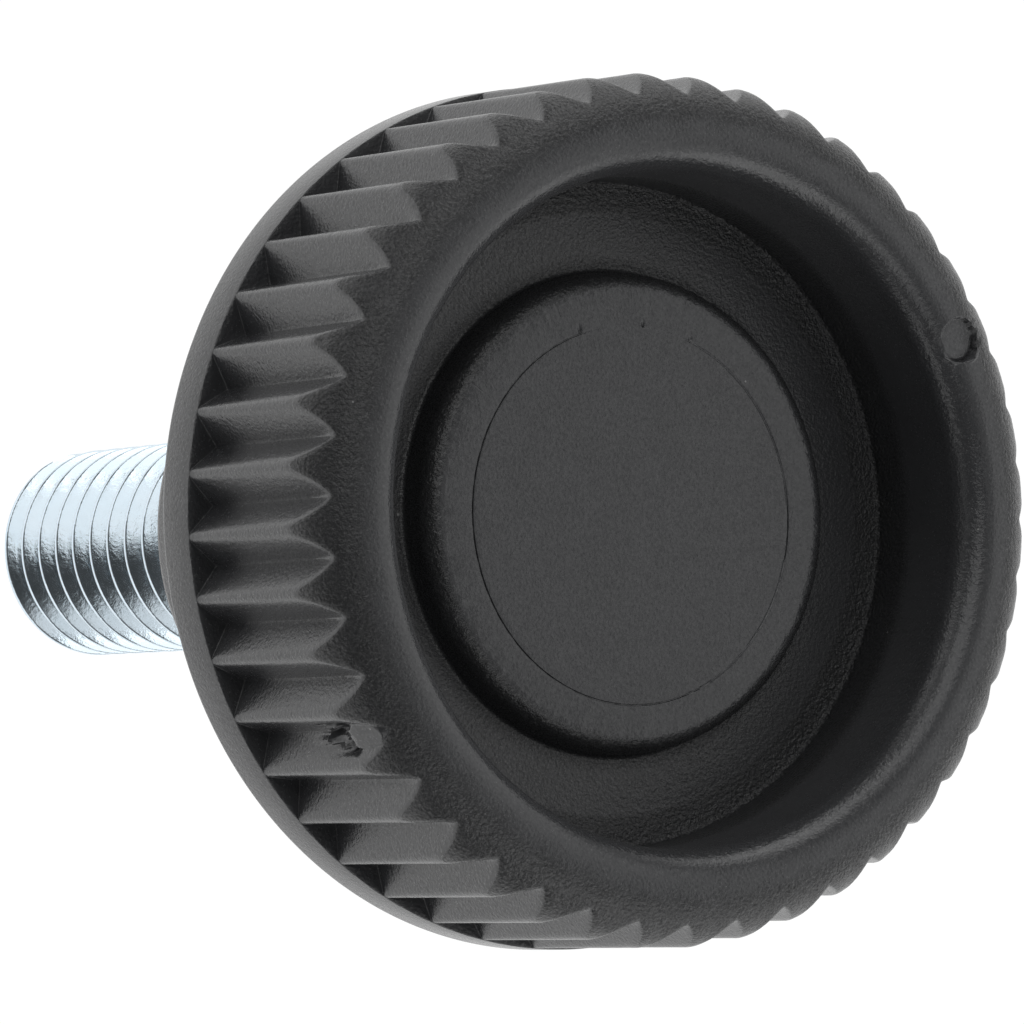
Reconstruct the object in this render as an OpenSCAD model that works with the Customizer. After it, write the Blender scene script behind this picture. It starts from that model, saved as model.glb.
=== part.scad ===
// Knurled knob: a moulded plastic head on a zinc-plated threaded stud.
//
// The origin is the centre of the seat, the flat face at the rear of the hub that bears on the work.
// +Z runs along the knob's axis and out of its dished front, so the stud points along -Z.
// The head is one moulding, made round the stud's knurled anchor. The two pieces share that surface.

/* [Knurl] */
// Diameter over the tips of the knurl, next to the collar
head_d = 22.5; // [22.2:0.1:24]
// Number of grooves round the head
groove_count = 44; // [36:1:48]
// Depth of a groove below the tips, next to the collar
groove_depth = 0.73; // [0.5:0.01:0.76]
// Rounding of the tips
tip_round = 0.15; // [0.06:0.01:0.18]
// Draft of the tips towards the front, in degrees
tip_draft = 0.9; // [0:0.1:1.2]

/* [Collar and rim] */
// Width of the plain collar behind the grooves
collar_w = 1.4; // [1:0.05:2]
// Height of the collar's rear edge above the tips of the knurl
collar_lip = 0.02; // [0.01:0.01:0.15]
// Rounding of the collar's rear edge
collar_round = 0.25; // [0.1:0.05:0.45]
// Height of the rim's crown in front of the collar
rim_h = 6.2; // [5.8:0.1:7]
// Radius of the shoulder, from the knurl to the rim's crown
shoulder_round = 1.68; // [1.4:0.02:1.7]

/* [Dished front] */
// Diameter of the dish at its mouth, below the rounded lip
dish_d = 17.25; // [16.8:0.05:17.6]
// Draft of the dish's wall, in degrees
dish_draft = 0.6; // [0:0.1:2]
// Depth of the dish's floor below the rim's crown
dish_depth = 4; // [3.6:0.1:4.3]
// Fillet between the dish's wall and floor
dish_fillet = 0.2; // [0.1:0.05:0.6]
// Diameter of the round boss in the dish
boss_d = 12.4; // [11.8:0.1:13]
// Height of the boss above the dish's floor
boss_h = 1.1; // [0.9:0.05:1.4]
// Rounding of the boss's edge
boss_round = 0.65; // [0.2:0.05:0.7]
// Fillet between the boss and the dish's floor
boss_fillet = 0.12; // [0.05:0.01:0.18]

/* [Hub] */
// Diameter of the hub at the seat
hub_d = 12.5; // [12:0.1:14]
// Distance from the seat to the underside of the head
hub_h = 9.1; // [9:0.1:10.5]
// Draft of the hub, in degrees
hub_draft = 1; // [0:0.1:2]
// Rounding of the hub's edge at the seat
hub_round = 0.3; // [0.1:0.05:0.5]
// Fillet between the hub and the underside of the head
hub_fillet = 0.6; // [0.3:0.1:1.2]

/* [Stud] */
// Nominal thread diameter
stud_d = 6; // [5:1:6]
// Length of the stud below the seat
stud_l = 15; // [10:1:40]
// Chamfer at the stud's end
stud_chamfer = 0.5; // [0.3:0.1:0.8]

/* [Anchor inside the head] */
// Diameter over the anchor's knurl
anchor_d = 8; // [7.6:0.1:8.5]
// Distance from the seat to the end of the anchor
anchor_top = 8.5; // [8:0.5:9]
// Length of the plain shank between the seat and the anchor
neck_l = 2; // [1.5:0.5:2.5]
// Diameter of that shank, whose end lies flush with the seat
neck_d = 7; // [6.8:0.1:7.2]
// Number of teeth round the anchor
anchor_teeth = 20; // [16:1:24]
// Depth of the anchor's teeth
anchor_tooth = 0.35; // [0.25:0.05:0.4]
// Width of the ring groove that stops the stud from pulling out
retain_w = 1.2; // [0.8:0.1:1.5]
// Depth of that ring groove
retain_depth = 0.5; // [0.3:0.05:0.5]

/* [Hidden] */

$fn = 96;
head_colour = [0.16, 0.163, 0.168];
stud_colour = [0.78, 0.81, 0.84];

// Points on each quarter or tip arc
arc_steps = 6;
tip_steps = 3;

// Heights above the seat
collar_front_z = hub_h + collar_w;
crown_z = collar_front_z + rim_h;
floor_z = crown_z - dish_depth;
boss_z = floor_z + boss_h;

// The knurl's tips taper from tip_r at the collar to shoulder_r at the shoulder
tip_r = head_d / 2;
collar_r = tip_r + collar_lip;
shoulder_z = crown_z - shoulder_round;
shoulder_r = tip_r - (shoulder_z - collar_front_z) * tan(tip_draft);
crown_r = shoulder_r - shoulder_round;

// The lip turns the rim's crown down into the dish
mouth_r = dish_d / 2;
lip_round = crown_r - mouth_r;
dish_foot_r = mouth_r - (dish_depth - lip_round) * tan(dish_draft);
boss_r = boss_d / 2;

// The hub widens from the seat to the head
hub_r = hub_d / 2;
hub_top_r = hub_r + hub_h * tan(hub_draft);

// A groove's two flanks meet at valley_r, and would meet their neighbours at apex_r without the rounding
half_pitch = 180 / groove_count;
valley_r = tip_r - groove_depth;
flank_rise = tip_r * sin(half_pitch);
flank_angle = atan2(flank_rise, tip_r * cos(half_pitch) - valley_r) - half_pitch;
apex_r = tip_r + tip_round * (1 / sin(flank_angle) - 1);

// Clearance that a cutting shape has past the surface it cuts
past = 1;

stud_r = stud_d / 2;
anchor_r = anchor_d / 2;
anchor_chamfer = 0.3;
retain_z = (neck_l + anchor_top) / 2;
retain_r = anchor_r - retain_depth;

// Points of an arc about [r, z], from angle a to angle b. A first of 1 leaves out the point at a.
function arc(centre, radius, a, b, steps = arc_steps, first = 0) =
    [for (i = [first : steps])
        centre + radius * [cos(a + (b - a) * i / steps), sin(a + (b - a) * i / steps)]];

// Outline of a ring of teeth: tips rounded about tip_centre, with a sharp valley between neighbours
function toothed_ring(count, valley, tip_centre, round_r, half_arc) =
    [for (i = [0 : count - 1])
        let (turn = i * 360 / count, tip_turn = turn + 180 / count)
            each concat(
                [valley * [cos(turn), sin(turn)]],
                arc(tip_centre * [cos(tip_turn), sin(tip_turn)], round_r,
                    tip_turn - half_arc, tip_turn + half_arc, tip_steps))];

// Half section of the head without its grooves. One drafted line runs from the collar's rear edge
// to the shoulder, and the groove cutter makes the collar's front face across it.
function head_section() = concat(
    [[0, 0]],
    arc([hub_r - hub_round, hub_round], hub_round, -90, 0),
    arc([hub_top_r + hub_fillet, hub_h - hub_fillet], hub_fillet, 180, 90),
    arc([collar_r - collar_round, hub_h + collar_round], collar_round, -90, 0),
    arc([crown_r, shoulder_z], shoulder_round, 0, 90, 2 * arc_steps),
    arc([crown_r, crown_z - lip_round], lip_round, 90, 180, first = 1),
    arc([dish_foot_r - dish_fillet, floor_z + dish_fillet], dish_fillet, 0, -90),
    arc([boss_r + boss_fillet, floor_z + boss_fillet], boss_fillet, 270, 180, tip_steps),
    arc([boss_r - boss_round, boss_z - boss_round], boss_round, 0, 90),
    [[0, boss_z]]);

// Everything outside the ring of grooves, from the collar's front face forwards
module groove_cutter() {
    tip_centre = apex_r - tip_round / sin(flank_angle);
    translate([0, 0, collar_front_z])
        linear_extrude(rim_h + past)
            difference() {
                circle(collar_r + past);
                polygon(toothed_ring(groove_count, valley_r, tip_centre, tip_round, 90 - flank_angle));
            }
}

// The anchor's teeth: a toothed ring, cut to its end chamfers
module anchor_teeth_ring() {
    tooth_tip = 0.1;
    translate([0, 0, neck_l])
        linear_extrude(anchor_top - neck_l)
            polygon(toothed_ring(anchor_teeth, anchor_r - anchor_tooth, anchor_r - tooth_tip, tooth_tip, 45));
}

// Everything of the stud that lies inside the head
module stud_anchor() {
    cylinder(d = neck_d, h = neck_l + past);
    intersection() {
        anchor_teeth_ring();
        rotate_extrude()
            polygon([
                [0, neck_l],
                [anchor_r - anchor_chamfer, neck_l],
                [anchor_r, neck_l + anchor_chamfer],
                [anchor_r, retain_z - retain_w / 2],
                [retain_r, retain_z - retain_w / 2],
                [retain_r, retain_z + retain_w / 2],
                [anchor_r, retain_z + retain_w / 2],
                [anchor_r, anchor_top - anchor_chamfer],
                [anchor_r - anchor_chamfer, anchor_top],
                [0, anchor_top]]);
    }
}

// The plated steel stud. Its thread is left as a plain shank of the nominal diameter.
module threaded_stud() {
    color(stud_colour) {
        translate([0, 0, -stud_l])
            cylinder(r1 = stud_r - stud_chamfer, r2 = stud_r, h = stud_chamfer);
        translate([0, 0, stud_chamfer - stud_l])
            cylinder(r = stud_r, h = stud_l - stud_chamfer);
        stud_anchor();
    }
}

// The moulded head: hub, collar, knurl, rim, dish and boss in one piece
module knob_head() {
    color(head_colour)
        difference() {
            // Half a facet's turn keeps the grooves off the facets' edges
            rotate(180 / $fn) rotate_extrude() polygon(head_section());
            groove_cutter();
            stud_anchor();
        }
}

knob_head();
threaded_stud();
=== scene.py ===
"""Knurled knob: a matte black moulded head on a zinc-plated M6 stud.

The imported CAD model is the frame. The origin is the centre of the seat at the hub's rear, and +Z runs
out of the dished front. Lengths below are in millimetres, and MM turns them into Blender's metres.
"""
import math

import bmesh
import bpy
import numpy as np
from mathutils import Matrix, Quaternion, Vector, noise


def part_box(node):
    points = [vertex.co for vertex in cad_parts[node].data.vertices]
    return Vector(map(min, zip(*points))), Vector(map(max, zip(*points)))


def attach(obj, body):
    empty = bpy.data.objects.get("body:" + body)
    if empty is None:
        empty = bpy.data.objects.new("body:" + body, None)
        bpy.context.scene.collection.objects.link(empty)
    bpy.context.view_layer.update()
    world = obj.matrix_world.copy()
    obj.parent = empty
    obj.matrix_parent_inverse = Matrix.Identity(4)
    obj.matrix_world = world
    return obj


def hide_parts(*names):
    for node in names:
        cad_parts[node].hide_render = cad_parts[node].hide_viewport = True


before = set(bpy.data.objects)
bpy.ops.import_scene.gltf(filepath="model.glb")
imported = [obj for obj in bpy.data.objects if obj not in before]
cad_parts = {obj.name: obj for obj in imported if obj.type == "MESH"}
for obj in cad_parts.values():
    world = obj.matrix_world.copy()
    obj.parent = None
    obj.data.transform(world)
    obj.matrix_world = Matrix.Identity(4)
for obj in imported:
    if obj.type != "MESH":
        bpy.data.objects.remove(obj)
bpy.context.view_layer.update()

MM = 0.001
HEAD_HIGH = Vector(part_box("knob_head")[1]) / MM
STUD_LOW = Vector(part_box("threaded_stud")[0]) / MM

# ---------------------------------------------------------------- dimensions of the head

CROWN_Z = HEAD_HIGH.z
TEETH = 44
TIP_R = 11.25
VALLEY_R = 10.52
TIP_ROUND = 0.15
TIP_WEAR = 0.015
# Rounding of a groove's bottom, along the knurl and where the groove runs out
VALLEY_ROUND = 0.0006
VALLEY_ROUND_FRONT = 0.006
# Softness of the edge where a groove runs out on the shoulder
EDGE_SOFT = 0.16
COLLAR_R = 11.27
COLLAR_ROUND = 0.25
COLLAR_W = 1.4
RIM_H = 6.2
COLLAR_Z = CROWN_Z - RIM_H
UNDERSIDE_Z = COLLAR_Z - COLLAR_W
SHOULDER_R = 1.68
TIP_DRAFT = math.radians(0.9)
SHOULDER_Z = CROWN_Z - SHOULDER_R
SHOULDER_TOP_R = TIP_R - (SHOULDER_Z - COLLAR_Z) * math.tan(TIP_DRAFT)
CROWN_R = SHOULDER_TOP_R - SHOULDER_R
MOUTH_R = 8.63
LIP_ROUND = CROWN_R - MOUTH_R
DISH_DEPTH = 4.0
DISH_DRAFT = math.radians(0.6)
DISH_FILLET = 0.14
DISH_FOOT_R = MOUTH_R - (DISH_DEPTH - LIP_ROUND) * math.tan(DISH_DRAFT)
FLOOR_Z = CROWN_Z - DISH_DEPTH
BOSS_R = 6.2
BOSS_FOOT_R = 6.24
BOSS_H = 1.1
BOSS_Z = FLOOR_Z + BOSS_H
BOSS_ROUND = 0.55
BOSS_FILLET = 0.12
HUB_R = 6.25
HUB_DRAFT = math.radians(1)
HUB_TOP_R = HUB_R + UNDERSIDE_Z * math.tan(HUB_DRAFT)
HUB_ROUND = 0.3
HUB_FILLET = 0.6
SHANK_R = 3.5
END_FILLET = 0.03
WITNESS_R = 4.873
# Depth of the boss's witness line in microns, at some turns round the axis in degrees
WITNESS_DEPTHS = (
    (0, 38.4), (5, 38.4), (12, 9.6), (16, 9.6), (21, 19.2), (45, 19.2), (67, 12.8), (72, 1.6), (105, 1.6),
    (114, 44.8), (180, 54.4), (270, 54.4), (294, 44.8), (300, 16), (315, 9.6), (320, 28.8), (344, 19.2),
    (350, 48), (360, 48))

# How coarse the moulded skin is on each part of the head: 0 is polished, 1 is fully eroded, and the
# dish's corner is rougher still
PLAIN_GRAIN = 0.5
COLLAR_GRAIN = 0.4
FLANK_GRAIN = 0.45
CROWN_GRAIN = 0.4
LIP_GRAIN = 0.35
WALL_GRAIN = 0.3
CORNER_GRAIN = 2.2
FLOOR_GRAIN = 0.62
BOSS_FOOT_GRAIN = 0.8
BOSS_GRAIN = 0.2
CENTRE_GRAIN = 0.15

# ---------------------------------------------------------------- dimensions of the stud

STUD_R = 3.0
PITCH = 1.0
CREST_Z = -10.36
CREST_PHI = math.radians(-172)
THREAD_DEPTH = 0.61
STUD_CHAMFER = 0.5
STUD_COLUMNS = 192
NECK_L = 0.8


def make_camera():
    """Looks down on the knob's front from its left, with the image's top towards +Y."""
    azimuth, elevation = math.radians(-174.655), math.radians(57.001)
    roll = math.radians(-85.518)
    distance = 169.565 * MM
    aim = Vector((-1.093, 0.145, 9.802)) * MM
    towards = Vector((
        math.cos(azimuth) * math.cos(elevation),
        math.sin(azimuth) * math.cos(elevation),
        math.sin(elevation)))
    data = bpy.data.cameras.new("camera")
    data.sensor_width = 36
    data.lens = 228.5
    data.clip_start = 0.01
    data.clip_end = 10
    camera = bpy.data.objects.new("camera", data)
    camera.rotation_mode = "QUATERNION"
    level = (-towards).to_track_quat("-Z", "Y")
    camera.rotation_quaternion = Quaternion(-towards, roll) @ level
    camera.location = aim + towards * distance
    bpy.context.scene.collection.objects.link(camera)
    bpy.context.scene.camera = camera
    return camera


# ---------------------------------------------------------------- mesh helpers

def arc(centre_r, centre_z, radius, start, end, steps):
    """Points [r, z] of an arc, from angle start to angle end in degrees."""
    angles = np.radians(np.linspace(start, end, steps + 1))
    return [(centre_r + radius * math.cos(a), centre_z + radius * math.sin(a)) for a in angles]


def soft_min(a, b, width):
    """The smaller of a and b, rounded over where they cross."""
    width = np.maximum(width, 1e-4)
    h = np.clip(0.5 + 0.5 * (b - a) / width, 0, 1)
    return b * (1 - h) + a * h - width * h * (1 - h)


def smooth_step(low, high, x):
    t = np.clip((x - low) / (high - low), 0, 1)
    return t * t * (3 - 2 * t)


def grid_mesh(name, rows, cap=None):
    """A closed ring of quads between rows of (x, y, z) points, as arrays of shape (columns, 3)."""
    columns = len(rows[0])
    verts = np.concatenate(rows)
    faces = []
    for i in range(len(rows) - 1):
        a, b = i * columns, (i + 1) * columns
        for j in range(columns):
            k = (j + 1) % columns
            faces.append((a + j, a + k, b + k, b + j))
    verts = [tuple(v * MM) for v in verts]
    if cap is not None:
        verts.append(tuple(np.array(cap) * MM))
        last = (len(rows) - 1) * columns
        faces += [(last + j, last + (j + 1) % columns, len(verts) - 1) for j in range(columns)]
    mesh = bpy.data.meshes.new(name)
    mesh.from_pydata(verts, [], faces)
    mesh.update()
    return mesh


def add_object(name, mesh):
    obj = bpy.data.objects.new(name, mesh)
    bpy.context.scene.collection.objects.link(obj)
    return obj


# ---------------------------------------------------------------- the head

# Places of the columns within one tooth, from a valley (0) to the next (1): close at the valley and tip
HALF_TOOTH = [0, 0.01, 0.05, 0.12, 0.2, 0.28, 0.35, 0.405, 0.445, 0.475]
TOOTH_COLUMNS = HALF_TOOTH + [0.5] + [1 - u for u in reversed(HALF_TOOTH[1:])]
HALF_PITCH = math.pi / TEETH


def column_angles():
    return np.array([(k + u) * 2 * HALF_PITCH for k in range(TEETH) for u in TOOTH_COLUMNS])


def profile_r(z):
    """Radius of the head's plain outer side at height z, from the collar's front to the crown."""
    z = np.asarray(z, float)
    side = TIP_R - (z - COLLAR_Z) * math.tan(TIP_DRAFT)
    rise = np.clip(z - SHOULDER_Z, 0, SHOULDER_R)
    return np.where(z < SHOULDER_Z, side, CROWN_R + np.sqrt(SHOULDER_R ** 2 - rise ** 2))


def groove_r(phi, z):
    """Radius of the knurl at angle phi and height z: straight flanks and a rounded, drafted tip."""
    turn = np.abs((phi / (2 * HALF_PITCH)) % 1 - 0.5) * 2 * HALF_PITCH
    # the valley is a little rounded, and more so where the groove runs out
    valley_round = VALLEY_ROUND + VALLEY_ROUND_FRONT * smooth_step(SHOULDER_Z + 0.5, SHOULDER_Z + 1.4, z)
    turn = HALF_PITCH - np.sqrt((HALF_PITCH - turn) ** 2 + valley_round ** 2)
    turn = np.maximum(turn, 0)
    valley = np.array([VALLEY_R * math.cos(HALF_PITCH), VALLEY_R * math.sin(HALF_PITCH)])
    rise = TIP_R * math.sin(HALF_PITCH)
    slope = math.atan2(rise, TIP_R * math.cos(HALF_PITCH) - VALLEY_R) - HALF_PITCH
    apex = TIP_R + TIP_ROUND * (1 / math.sin(slope) - 1)
    slope = math.atan2(valley[1], apex - valley[0])
    top = profile_r(np.minimum(z, SHOULDER_Z)) - TIP_WEAR
    tip = (apex - top) / (1 / math.sin(slope) - 1)
    centre = apex - tip / math.sin(slope)
    # the flank is the line from the valley to the apex
    along = np.array([apex, 0]) - valley
    cross = valley[0] * along[1] - valley[1] * along[0]
    flank = cross / (np.cos(turn) * along[1] - np.sin(turn) * along[0])
    inside = tip ** 2 - (centre * np.sin(turn)) ** 2
    round_part = centre * np.cos(turn) + np.sqrt(np.maximum(inside, 0))
    touch_x = centre + tip * math.sin(slope)
    touch_y = tip * math.cos(slope)
    return np.where(turn < np.arctan2(touch_y, touch_x), round_part, flank)


def edge_width(z):
    """Softness of the edge where a groove runs out on the shoulder."""
    return EDGE_SOFT * smooth_step(SHOULDER_Z - 0.1, SHOULDER_Z + 0.7, z)


def witness_depth(phi):
    """The mould insert's line on the boss: clear on the left, broken on the right and gone at the top."""
    turn = np.degrees(phi) % 360
    turns, microns = zip(*WITNESS_DEPTHS)
    depth = 0.001 * np.interp(turn, turns, microns)
    return depth * (0.8 + 0.2 * np.sin(turn * 0.9) * np.sin(turn * 0.37 + 1))


def run_out_z(phi):
    """Height at which each groove's surface meets the shoulder."""
    knurl = groove_r(phi, SHOULDER_Z + 1.3)
    return SHOULDER_Z + np.sqrt(np.maximum(SHOULDER_R ** 2 - np.maximum(knurl - CROWN_R, 0) ** 2, 0))


def level_rows(phi, points, grain):
    """A row round the axis for each (r, z) point."""
    ones = np.ones_like(phi)
    return [(r * ones, z * ones, grain * ones) for r, z in points]


def hub_rows(phi):
    """The hub, the underside of the head and the collar, up to the edge of the collar's front."""
    seat_edge = arc(HUB_R - HUB_ROUND, HUB_ROUND, HUB_ROUND, -90, 0, 3)
    foot = arc(HUB_TOP_R + HUB_FILLET, UNDERSIDE_Z - HUB_FILLET, HUB_FILLET, 180, 90, 4)
    rear_edge = arc(COLLAR_R - COLLAR_ROUND, UNDERSIDE_Z + COLLAR_ROUND, COLLAR_ROUND, -90, 0, 5)
    edge = 0.04
    front_r = profile_r(COLLAR_Z)
    front_edge = [(front_r, COLLAR_Z - edge), (front_r - edge * 0.2, COLLAR_Z - edge * 0.2)]
    rows = level_rows(phi, [(SHANK_R, 0)] + seat_edge + foot, PLAIN_GRAIN)
    return rows + level_rows(phi, rear_edge + front_edge, COLLAR_GRAIN)


def groove_rows(phi):
    """The grooves: the end walls on the collar's front, the fillets at their feet, and the flanks."""
    ones = np.ones_like(phi)
    wall_top = TIP_R - 0.012
    bottom = groove_r(phi, COLLAR_Z)
    # the fillet fades out towards the tips, where there is no wall
    wall = np.maximum(wall_top - bottom, 0.004)
    fillet = END_FILLET * wall / (wall + 0.5 * END_FILLET)
    rows = []
    for t in (0.05, 0.5):
        rows.append((wall_top + (bottom + fillet - wall_top) * t, COLLAR_Z * ones, PLAIN_GRAIN * ones))
    for angle in np.radians((0, 20, 42, 66, 90)):
        z = COLLAR_Z + fillet * (1 - math.cos(angle))
        rows.append((groove_r(phi, z) + fillet * (1 - math.sin(angle)), z, PLAIN_GRAIN * ones))
    low, high = COLLAR_Z + fillet, run_out_z(phi)
    for t in (0.1, 0.25, 0.42, 0.58, 0.71, 0.81, 0.88, 0.93, 0.965, 0.985, 1):
        z = low + (high - low) * t
        past_edge = smooth_step(-0.03, 0.04, groove_r(phi, z) - profile_r(z)) * (z > SHOULDER_Z + 0.3)
        grain = FLANK_GRAIN + (1 - FLANK_GRAIN) * past_edge
        rows.append((soft_min(groove_r(phi, z), profile_r(z), edge_width(z)), z, grain))
    return rows


def shoulder_rows(phi):
    """The shoulder, from the edge where the grooves run out to the crown. It is eroded but for the crown."""
    start = np.arcsin(np.clip((run_out_z(phi) - SHOULDER_Z) / SHOULDER_R, 0, 1))
    rows = []
    for t in (0.012, 0.035, 0.08, 0.15, 0.25, 0.37, 0.5, 0.65, 0.82, 1):
        angle = start + (math.pi / 2 - start) * t
        r = CROWN_R + SHOULDER_R * np.cos(angle)
        z = SHOULDER_Z + SHOULDER_R * np.sin(angle)
        grain = CROWN_GRAIN + (1 - CROWN_GRAIN) * smooth_step(0.1, 0.35, np.cos(angle))
        rows.append((soft_min(groove_r(phi, z), r, edge_width(z)), z, grain))
    return rows


def dish_rows(phi):
    """The lip, the dish's wall, the corner at its foot and the dish's floor."""
    rows = []
    for r, z in arc(CROWN_R, CROWN_Z - LIP_ROUND, LIP_ROUND, 90, 180, 10)[1:]:
        grain = LIP_GRAIN + 0.25 * smooth_step(CROWN_R - 0.45, CROWN_R - 0.8, r)
        rows += level_rows(phi, [(r, z)], grain)
    foot_z = FLOOR_Z + DISH_FILLET
    middle = (MOUTH_R * 0.5 + DISH_FOOT_R * 0.5, (CROWN_Z - LIP_ROUND) * 0.5 + foot_z * 0.5)
    corner = arc(DISH_FOOT_R - DISH_FILLET, foot_z, DISH_FILLET, 0, -90, 4)
    rows += level_rows(phi, [middle], WALL_GRAIN)
    rows += level_rows(phi, corner, CORNER_GRAIN)
    return rows + level_rows(phi, [(7.7, FLOOR_Z), (6.7, FLOOR_Z)], FLOOR_GRAIN)


def boss_rows(phi):
    """The boss: its foot, its rounded edge, and its top with the witness line."""
    foot = arc(BOSS_FOOT_R + BOSS_FILLET, FLOOR_Z + BOSS_FILLET, BOSS_FILLET, 270, 180, 3)
    rows = level_rows(phi, foot, BOSS_FOOT_GRAIN)
    for r, z in arc(BOSS_R - BOSS_ROUND, BOSS_Z - BOSS_ROUND, BOSS_ROUND, 0, 90, 9):
        # the edge is eroded and the top is not
        grain = 1 - 0.85 * smooth_step(BOSS_R - 0.2, BOSS_R - BOSS_ROUND - 0.05, r)
        rows += level_rows(phi, [(r, z)], grain)
    rows += level_rows(phi, [(r, BOSS_Z) for r in (5.3, 5.08)], BOSS_GRAIN)
    # the witness line is a narrow groove, a little off the knob's axis
    line_r = WITNESS_R + 0.011 * np.cos(phi) - 0.079 * np.sin(phi)
    depth = witness_depth(phi)
    grain = BOSS_GRAIN * np.ones_like(phi)
    sides = ((0.05, 0), (0.026, 0.06), (0.012, 0.95), (-0.012, 0.95), (-0.026, 0.06), (-0.05, 0))
    for offset, share in sides:
        rows.append((line_r + offset, BOSS_Z - depth * share, grain))
    return rows + level_rows(phi, [(r, BOSS_Z) for r in (4.72, 4.5, 3.4, 2.2, 1.0)], BOSS_GRAIN)


def head_rows(phi):
    """Rows of (r, z, grain) arrays from the ring round the stud to the middle of the boss."""
    return hub_rows(phi) + groove_rows(phi) + shoulder_rows(phi) + dish_rows(phi) + boss_rows(phi)


def ripple(point):
    """Small unevenness of the moulded skin, as a shift along its outward side."""
    where = Vector(point)
    return 0.004 * noise.noise(where * 1.1) + 0.0022 * noise.noise(where * 4.3 + Vector((7, 3, 1)))


def ragged(point):
    """The eroded, uneven edge of the boss and of the dish's lip."""
    where = Vector(point)
    return 0.02 * noise.noise(where * 6.5) + 0.014 * noise.noise(where * 13 + Vector((2, 9, 4)))


def uneven(points):
    """Points of the head moved by the ripples, and by raggedness along the two mould edges."""
    share = 0.7
    moved = points.copy()
    for i, (x, y, z) in enumerate(points):
        r = math.hypot(x, y)
        if z < COLLAR_Z - 0.5 or r < 0.5:
            continue
        # the dish's wall faces the axis
        side = -1 if BOSS_R + 0.3 < r < CROWN_R else 1
        shift = ripple((x, y, z))
        on_boss_edge = BOSS_R - BOSS_ROUND < r < BOSS_R + 0.1 and z > FLOOR_Z + 0.3
        on_lip = MOUTH_R - 0.05 < r < MOUTH_R + 0.3 and z > CROWN_Z - LIP_ROUND - 0.2
        if on_boss_edge or on_lip:
            shift += ragged((x, y, z)) * (1 if on_boss_edge else 0.6)
        if r < CROWN_R:
            moved[i, 2] += shift * share
        moved[i, 0] += side * shift * x / r * share
        moved[i, 1] += side * shift * y / r * share
    return moved


class Mark:
    """A moulding mark on the head: its centre, its reach and the shift it gives a point of the skin."""

    def __init__(self, centre, reach, shift):
        self.centre = Vector(centre)
        self.reach = reach
        self.shift = shift


def smooth(low, high, x):
    return float(smooth_step(low, high, x))


def bell(x, middle, width):
    """1 at the middle, and close to 0 two widths away."""
    return math.exp(-((x - middle) / width) ** 2)


def ejector_shift(offset, point):
    """A round ejector pin's mark in the crown: a flat sunk disc, deeper on its right, with a burr below."""
    disc_r, disc_z = 0.6, 16.52
    groove_at, groove_width, groove_depth = 0.54, 0.03, 0.06
    burr_at, burr_width, burr_height = 0.64, 0.035, 0.07
    distance = math.hypot(offset.x, offset.y)
    turn = math.degrees(math.atan2(offset.y, offset.x))
    sunk = disc_z - 0.1 * offset.x + 0.05 * offset.y - point.z
    inside = smooth(disc_r, disc_r - 0.05, distance)
    burr = bell(distance, burr_at, burr_width) * (bell(turn, -115, 14) + bell(turn, -45, 16))
    # the groove round the disc fades out on its left
    deepest_turn = -30
    around = 0.5 + 0.5 * math.cos(math.radians(turn - deepest_turn))
    groove = bell(distance, groove_at, groove_width) * around
    return Vector((0, 0, min(sunk, 0) * inside - groove_depth * groove + burr_height * burr))


def gate_shift(offset, point):
    """The torn-off gate, which part fills one groove: a ragged break, and a smooth pad in front of it."""
    outward = Vector((point.x, point.y, 0)).normalized()
    aside = offset.dot(Vector((-outward.y, outward.x, 0)))
    along = offset.z
    r = math.hypot(point.x, point.y)
    half_width = 0.5
    across = 1 - (aside / half_width) ** 2
    # a hollow parts the break from the pad
    hollow_at, hollow_width, hollow_depth = -0.02, 0.11, 0.16
    hollow = hollow_depth * bell(along, hollow_at, hollow_width) * smooth(0, 0.4, across)
    if along < hollow_at:
        break_r, break_at, break_half_length, rear_end = 10.82, -0.5, 0.42, -1.3
        torn = noise.noise(point * 2.7) * 0.55 + noise.noise(point * 6.5 + Vector((5, 1, 2))) * 0.35
        ends = max(0, (abs(along - break_at) - break_half_length) / 0.3) ** 2
        broken_r = break_r + 0.55 * torn - 0.5 * ends
        fade = smooth(0, 0.3, across) * smooth(rear_end, rear_end + 0.3, along)
        return outward * (max(broken_r - r, -0.1) * fade - hollow)
    pad_r, pad_slope = 10.99, 0.2
    pad_at, pad_half_length, pad_half_width = 0.6, 0.72, 0.4
    oval = 1 - (aside / pad_half_width) ** 2 - ((along - pad_at) / pad_half_length) ** 2
    pad = max(pad_r - pad_slope * along - r, 0) * smooth(0, 0.3, oval)
    return outward * (pad - hollow)


def dent_shift(radius, depth):
    """A small dent or pit, pressed in slantwise from the front and the side."""
    def shift(offset, point):
        outward = Vector((point.x, point.y, 0)).normalized()
        slant = outward * 0.7 + Vector((0, 0, 0.7))
        return slant * (-depth * bell(offset.length, 0, radius))
    return shift


MARKS = [
    Mark((8.37, 4.60, 16.68), 0.85, ejector_shift),
    Mark((-9.05, -5.81, 14.95), 1.35, gate_shift),
    Mark((-7.04, 8.58, 16.2), 0.35, dent_shift(0.12, 0.09)),
    Mark((-10.46, 3.87, 15.6), 0.4, dent_shift(0.13, 0.05)),
    Mark((-6.43, -9.79, 15.5), 0.4, dent_shift(0.14, 0.05)),
    Mark((-1.61, 4.62, 13.8), 0.3, dent_shift(0.05, 0.12)),
    Mark((0.33, 4.83, 13.8), 0.3, dent_shift(0.035, 0.1)),
    Mark((1.8, 4.51, 13.8), 0.3, dent_shift(0.04, 0.1)),
]


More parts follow.
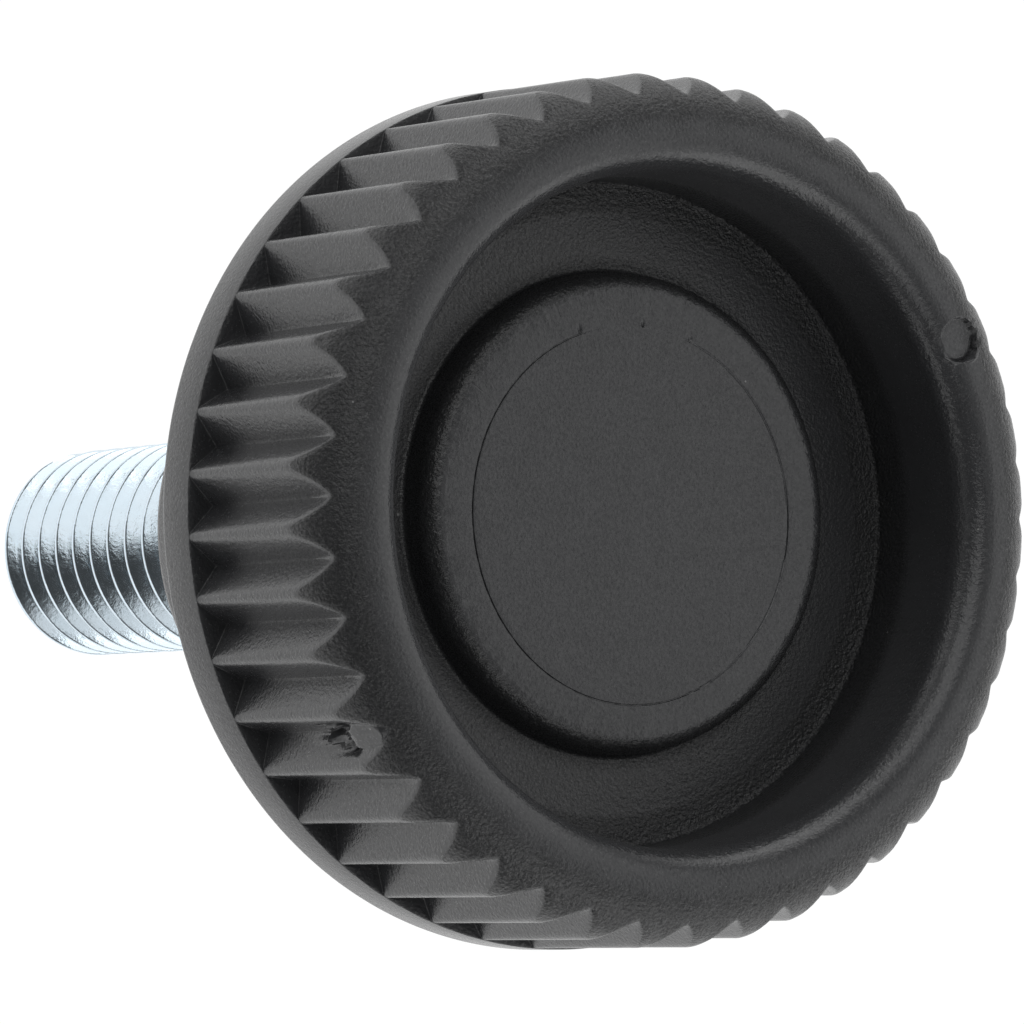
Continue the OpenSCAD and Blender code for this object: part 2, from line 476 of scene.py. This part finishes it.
def add_marks(mesh):
    """Divide the skin finely round each mark, then shift it. The larger marks need finer divisions."""
    work = bmesh.new()
    work.from_mesh(mesh)
    for mark in MARKS:
        centre = mark.centre * MM
        near = [e for e in work.edges if all((v.co - centre).length < mark.reach * MM for v in e.verts)]
        bmesh.ops.subdivide_edges(work, edges=near, cuts=3 if mark.reach > 0.5 else 2, use_grid_fill=True)
        for vert in work.verts:
            offset = (vert.co - centre) / MM
            if offset.length < mark.reach:
                vert.co += mark.shift(offset, vert.co / MM) * MM
    work.to_mesh(mesh)
    work.free()
    mesh.update()


def make_head():
    phi = column_angles()
    rows, grain = [], []
    for r, z, g in head_rows(phi):
        rows.append(uneven(np.stack([r * np.cos(phi), r * np.sin(phi), z], axis=1)))
        grain.append(g)
    mesh = grid_mesh("knob_head_dressed", rows, cap=(0, 0, BOSS_Z))
    layer = mesh.attributes.new("grain", "FLOAT", "POINT")
    layer.data.foreach_set("value", np.append(np.concatenate(grain), CENTRE_GRAIN))
    add_marks(mesh)
    head = add_object("knob_head_dressed", mesh)
    mesh.shade_smooth()
    mesh.set_sharp_from_angle(angle=math.radians(58))
    mesh.materials.append(head_plastic())
    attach(head, "root")
    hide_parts("knob_head")
    return head


# ---------------------------------------------------------------- the stud

# One pitch of the thread, from one crest's middle to the next: (share of the pitch, share of the depth)
THREAD_FORM = [
    (0, 0), (0.03, 0.004), (0.056, 0.03), (0.08, 0.085), (0.2, 0.45), (0.34, 0.86), (0.39, 0.955),
    (0.44, 0.99), (0.5, 1), (0.56, 0.99), (0.61, 0.955), (0.66, 0.86), (0.8, 0.45), (0.92, 0.085),
    (0.944, 0.03), (0.97, 0.004)]


def thread_rows(phi):
    """Rows that follow the helix from below the stud's end to above the seat, one turn of it at a time."""
    z_at_zero = CREST_Z - PITCH * CREST_PHI / (2 * math.pi)
    first = math.floor((STUD_LOW.z - z_at_zero) / PITCH) - 2
    turns = math.ceil(-STUD_LOW.z / PITCH) + 4
    low = STUD_LOW.z
    rows = []
    for i in range(turns * len(THREAD_FORM) + 1):
        share, depth = THREAD_FORM[i % len(THREAD_FORM)]
        z = z_at_zero + (first + i // len(THREAD_FORM) + share + phi / (2 * math.pi)) * PITCH
        r = STUD_R - 0.01 - depth * THREAD_DEPTH
        r = np.minimum(r, STUD_R - STUD_CHAMFER + (np.clip(z, low, 0) - low))
        # what lies past either end gathers on that end's ring
        r = np.where(z <= low, STUD_R - STUD_CHAMFER - 0.15, r)
        r = np.where(z >= 0, STUD_R - THREAD_DEPTH, r)
        z = np.clip(z, low, 0)
        rows.append(np.stack([r * np.cos(phi), r * np.sin(phi), z], axis=1))
    return rows


def make_stud():
    phi = np.linspace(0, 2 * math.pi, STUD_COLUMNS, endpoint=False)
    rows = thread_rows(phi)
    per_turn = len(THREAD_FORM)
    work = bmesh.new()
    grid = [[work.verts.new(point * MM) for point in row] for row in rows]
    for i in range(len(grid) - 1):
        for j in range(STUD_COLUMNS):
            # the last column meets the first one a turn lower on the helix
            k = i if j < STUD_COLUMNS - 1 else i - per_turn
            if k >= 0:
                after = (j + 1) % STUD_COLUMNS
                work.faces.new((grid[i][j], grid[k][after], grid[k + 1][after], grid[i + 1][j]))
    tolerance = 0.0005 * MM
    bmesh.ops.remove_doubles(work, verts=work.verts, dist=tolerance)
    bmesh.ops.dissolve_degenerate(work, dist=tolerance, edges=work.edges)
    loose = [v for v in work.verts if not v.link_faces]
    bmesh.ops.delete(work, geom=loose, context="VERTS")
    add_stud_ends(work)
    bmesh.ops.recalc_face_normals(work, faces=work.faces)
    mesh = bpy.data.meshes.new("threaded_stud_dressed")
    work.to_mesh(mesh)
    work.free()
    stud = add_object("threaded_stud_dressed", mesh)
    mesh.shade_smooth()
    mesh.set_sharp_from_angle(angle=math.radians(50))
    mesh.materials.append(stud_steel())
    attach(stud, "root")
    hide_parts("threaded_stud")
    return stud


def add_stud_ends(work):
    """Close the stud: a flat end face below, and the plain neck flush with the seat above."""
    close_rim(work, open_rim(work, STUD_LOW.z), STUD_LOW.z)
    rim = open_rim(work, 0)
    for z in (0, NECK_L):
        rim = extend_rim(work, rim, SHANK_R, z)
    close_rim(work, rim, NECK_L)


def open_rim(work, z):
    """The open edges at height z, as pairs of corners."""
    near = 0.0001 * MM
    return [
        tuple(edge.verts) for edge in work.edges
        if edge.is_boundary and all(abs(vert.co.z - z * MM) < near for vert in edge.verts)
    ]


def extend_rim(work, rim, r, z):
    """Join a rim by quads to a new ring of radius r at height z, and return that ring's edges."""
    # with bmesh's extrude and merge operators, the order of these faces changed from run to run
    outer = {}
    for vert in (vert for edge in rim for vert in edge):
        if vert not in outer:
            spoke = Vector((vert.co.x, vert.co.y, 0)).normalized() * r * MM
            outer[vert] = work.verts.new((spoke.x, spoke.y, z * MM))
    for a, b in rim:
        work.faces.new((a, b, outer[b], outer[a]))
    return [(outer[a], outer[b]) for a, b in rim]


def close_rim(work, rim, z):
    """Fill a rim with triangles to a point on the axis at height z."""
    centre = work.verts.new((0, 0, z * MM))
    for a, b in rim:
        work.faces.new((a, b, centre))


# ---------------------------------------------------------------- materials

def new_material(name):
    material = bpy.data.materials.new(name)
    material.use_nodes = True
    nodes = material.node_tree.nodes
    return material, nodes, material.node_tree.links, nodes["Principled BSDF"]


def add_noise(nodes, links, vector, scale, detail=2.0):
    texture = nodes.new("ShaderNodeTexNoise")
    texture.inputs["Scale"].default_value = scale
    texture.inputs["Detail"].default_value = detail
    texture.inputs["Roughness"].default_value = 0.6
    links.new(vector, texture.inputs["Vector"])
    return texture.outputs["Fac"]


def remap(nodes, links, value, low, high, to_low, to_high):
    node = nodes.new("ShaderNodeMapRange")
    node.inputs["From Min"].default_value = low
    node.inputs["From Max"].default_value = high
    node.inputs["To Min"].default_value = to_low
    node.inputs["To Max"].default_value = to_high
    links.new(value, node.inputs["Value"])
    return node.outputs["Result"]


def math_node(nodes, links, operation, a, b):
    node = nodes.new("ShaderNodeMath")
    node.operation = operation
    for socket, value in zip(node.inputs, (a, b)):
        if isinstance(value, (int, float)):
            socket.default_value = value
        else:
            links.new(value, socket)
    return node.outputs["Value"]


def mix_colours(nodes, links, factor, first, second):
    """The first colour where the factor is 0, and the second where it is 1."""
    node = nodes.new("ShaderNodeMix")
    node.data_type = "RGBA"
    for name, value in (("A", first), ("B", second)):
        if isinstance(value, tuple):
            node.inputs[name].default_value = value
        else:
            links.new(value, node.inputs[name])
    links.new(factor, node.inputs["Factor"])
    return node.outputs["Result"]


def add_bump(nodes, links, height, distance, shader):
    bump = nodes.new("ShaderNodeBump")
    bump.inputs["Distance"].default_value = distance
    links.new(height, bump.inputs["Height"])
    links.new(bump.outputs["Normal"], shader.inputs["Normal"])


def dust_specks(nodes, links, place):
    """1 on a few small specks, and 0 elsewhere."""
    dust = nodes.new("ShaderNodeTexVoronoi")
    dust.inputs["Scale"].default_value = 1100
    links.new(place, dust.inputs["Vector"])
    chosen = nodes.new("ShaderNodeSeparateColor")
    links.new(dust.outputs["Color"], chosen.inputs["Color"])
    reach = remap(nodes, links, chosen.outputs["Red"], 0.7, 1, 0, 0.05)
    return math_node(nodes, links, "LESS_THAN", dust.outputs["Distance"], reach)


def head_plastic():
    """Matte black moulded plastic. The mesh's grain attribute says how coarse the skin is at each point."""
    material, nodes, links, shader = new_material("head_plastic")
    place = nodes.new("ShaderNodeTexCoord").outputs["Object"]
    grain = nodes.new("ShaderNodeAttribute")
    grain.attribute_name = "grain"
    grain = grain.outputs["Fac"]
    # faint cloudiness of the colour, which is darker where the mould was eroded
    cloud = remap(nodes, links, add_noise(nodes, links, place, 900, 3), 0.3, 0.7, 0.7, 1)
    eroded = remap(nodes, links, grain, 0.5, 1, 0, 0.7)
    plain = math_node(nodes, links, "SUBTRACT", cloud, eroded)
    tone = mix_colours(nodes, links, plain, (0.026, 0.0265, 0.0275, 1), (0.047, 0.048, 0.051, 1))
    dust = dust_specks(nodes, links, place)
    dusty = mix_colours(nodes, links, dust, tone, (0.22, 0.22, 0.22, 1))
    links.new(dusty, shader.inputs["Base Color"])
    # each grain shines differently, and the eroded areas shine less
    speckle = add_noise(nodes, links, place, 13000, 2)
    shine = remap(nodes, links, speckle, 0.3, 0.7, 0.52, 0.96)
    shine = math_node(nodes, links, "SUBTRACT", shine, remap(nodes, links, grain, 0.45, 1, 0, 0.22))
    links.new(shine, shader.inputs["Specular IOR Level"])
    rough = remap(nodes, links, grain, 0, 2.5, 0.2, 0.38)
    rough = math_node(nodes, links, "ADD", rough, remap(nodes, links, speckle, 0.3, 0.7, -0.05, 0.05))
    links.new(rough, shader.inputs["Roughness"])
    # height of the grain, in microns
    coarse = math_node(nodes, links, "MULTIPLY", add_noise(nodes, links, place, 10500, 2), 36)
    height = math_node(nodes, links, "MULTIPLY", coarse, grain)
    height = math_node(nodes, links, "ADD", height, math_node(nodes, links, "MULTIPLY", speckle, 6))
    micron = 0.000001
    add_bump(nodes, links, height, micron, shader)
    return material


def stud_steel():
    """Bright zinc plating, faintly blue, with fine wear."""
    material, nodes, links, shader = new_material("stud_steel")
    place = nodes.new("ShaderNodeTexCoord").outputs["Object"]
    cloud = add_noise(nodes, links, place, 700, 3)
    tone = mix_colours(nodes, links, cloud, (0.68, 0.81, 0.9, 1), (0.76, 0.85, 0.92, 1))
    links.new(tone, shader.inputs["Base Color"])
    shader.inputs["Metallic"].default_value = 1
    rough = remap(nodes, links, add_noise(nodes, links, place, 3000, 3), 0.3, 0.7, 0.12, 0.2)
    links.new(rough, shader.inputs["Roughness"])
    add_bump(nodes, links, add_noise(nodes, links, place, 9000, 3), 0.0000065, shader)
    return material


# ---------------------------------------------------------------- stage and light

def make_floor():
    """A white floor at the stud's end, with a faint shadow. Its left is painted dark for reflections only."""
    size = 2.0
    z = STUD_LOW.z * MM
    corners = [(-size, -size, z), (size, -size, z), (size, size, z), (-size, size, z)]
    mesh = bpy.data.meshes.new("floor")
    mesh.from_pydata(corners, [], [(0, 1, 2, 3)])
    floor = add_object("floor", mesh)
    material, nodes, links, shader = new_material("floor_white")
    shader.inputs["Base Color"].default_value = (0.8, 0.8, 0.8, 1)
    shader.inputs["Roughness"].default_value = 0.9
    glow = nodes.new("ShaderNodeEmission")
    glow.inputs["Color"].default_value = (1, 1, 1, 1)
    # painted reflection: reflections alone see the floor's glow fade to dark on the left, and the camera sees
    # white all over
    white, painted_dark_reflection = 0.965, 0.06
    spot = nodes.new("ShaderNodeSeparateXYZ")
    links.new(nodes.new("ShaderNodeTexCoord").outputs["Object"], spot.inputs[0])
    painted_reflection_glow = remap(nodes, links, spot.outputs["X"], -0.2, -0.085, painted_dark_reflection, white)
    path = nodes.new("ShaderNodeLightPath")
    direct = math_node(nodes, links, "MULTIPLY", path.outputs["Is Camera Ray"], white)
    links.new(math_node(nodes, links, "MAXIMUM", direct, painted_reflection_glow), glow.inputs["Strength"])
    # the lit floor is added faintly, so that the shadow shows
    both = nodes.new("ShaderNodeAddShader")
    faint = nodes.new("ShaderNodeMixShader")
    faint.inputs["Fac"].default_value = 0.12
    dark = nodes.new("ShaderNodeBsdfTransparent")
    dark.inputs["Color"].default_value = (0, 0, 0, 1)
    links.new(dark.outputs[0], faint.inputs[1])
    links.new(shader.outputs[0], faint.inputs[2])
    links.new(faint.outputs[0], both.inputs[0])
    links.new(glow.outputs[0], both.inputs[1])
    seen = math_node(nodes, links, "MAXIMUM", path.outputs["Is Camera Ray"], path.outputs["Is Glossy Ray"])
    choose = nodes.new("ShaderNodeMixShader")
    links.new(seen, choose.inputs["Fac"])
    links.new(shader.outputs[0], choose.inputs[1])
    links.new(both.outputs[0], choose.inputs[2])
    links.new(choose.outputs[0], nodes["Material Output"].inputs["Surface"])
    mesh.materials.append(material)
    return floor


def make_world():
    """A dim sky for the object, and a white one for the camera."""
    world = bpy.data.worlds.new("studio")
    bpy.context.scene.world = world
    world.use_nodes = True
    nodes, links = world.node_tree.nodes, world.node_tree.links
    background = nodes["Background"]
    background.inputs["Color"].default_value = (1, 1, 1, 1)
    # the sky is darker high on the left, where no sheet hangs
    toward = nodes.new("ShaderNodeVectorMath")
    toward.operation = "DOT_PRODUCT"
    links.new(nodes.new("ShaderNodeTexCoord").outputs["Generated"], toward.inputs[0])
    toward.inputs[1].default_value = (-0.5, -0.05, 0.86)
    sky = remap(nodes, links, toward.outputs["Value"], 0.62, 0.95, 0.145, 0.05)
    links.new(sky, background.inputs["Strength"])
    bright = nodes.new("ShaderNodeBackground")
    bright.inputs["Color"].default_value = (1, 1, 1, 1)
    bright.inputs["Strength"].default_value = 1
    path = nodes.new("ShaderNodeLightPath")
    mix = nodes.new("ShaderNodeMixShader")
    links.new(path.outputs["Is Camera Ray"], mix.inputs["Fac"])
    links.new(background.outputs[0], mix.inputs[1])
    links.new(bright.outputs[0], mix.inputs[2])
    links.new(mix.outputs[0], nodes["World Output"].inputs["Surface"])


def add_light(name, azimuth, elevation, level, width=220, height=220):
    """A soft panel turned to the head from 400 mm away. A level of 1 is as bright as white paper."""
    distance = 400 * MM
    around, up = math.radians(azimuth), math.radians(elevation)
    away = Vector((math.cos(up) * math.cos(around), math.cos(up) * math.sin(around), math.sin(up)))
    data = bpy.data.lights.new(name, "AREA")
    data.shape = "RECTANGLE"
    data.size, data.size_y = width * MM, height * MM
    data.energy = level * math.pi * data.size * data.size_y
    light = bpy.data.objects.new(name, data)
    light.location = Vector((0, 0, 8)) * MM + away * distance
    light.rotation_euler = away.to_track_quat("Z", "Y").to_euler()
    bpy.context.scene.collection.objects.link(light)
    return light


def make_lights():
    """Soft panels all round but high on the camera's side, which stays dark. The low ones light the knurl."""
    add_light("right_light", 0, 31, 0.58, width=560, height=470)
    add_light("top_light", 0, 76, 0.2, width=260)
    add_light("far_light", 80, 28, 1.12, width=280)
    add_light("far_high_light", 126, 57, 0.94, width=320, height=290)
    add_light("near_light", 292, 27, 1.14, width=240, height=260)
    add_light("near_high_light", 265, 52, 0.68, width=250, height=200)
    add_light("low_left_light", 180, 9, 0.22, width=280, height=200)
    add_light("low_left_far_light", 138, 6, 1.12, width=270, height=180)
    add_light("low_left_near_light", 222, 6, 1.0, width=270, height=180)
    add_light("low_far_light", 64, 8, 0.75, width=260)
    add_light("low_near_light", 318, 8, 0.55, width=300)


make_camera()
bpy.context.scene.view_settings.view_transform = "Standard"
make_floor()
make_world()
make_lights()
make_head()
make_stud()
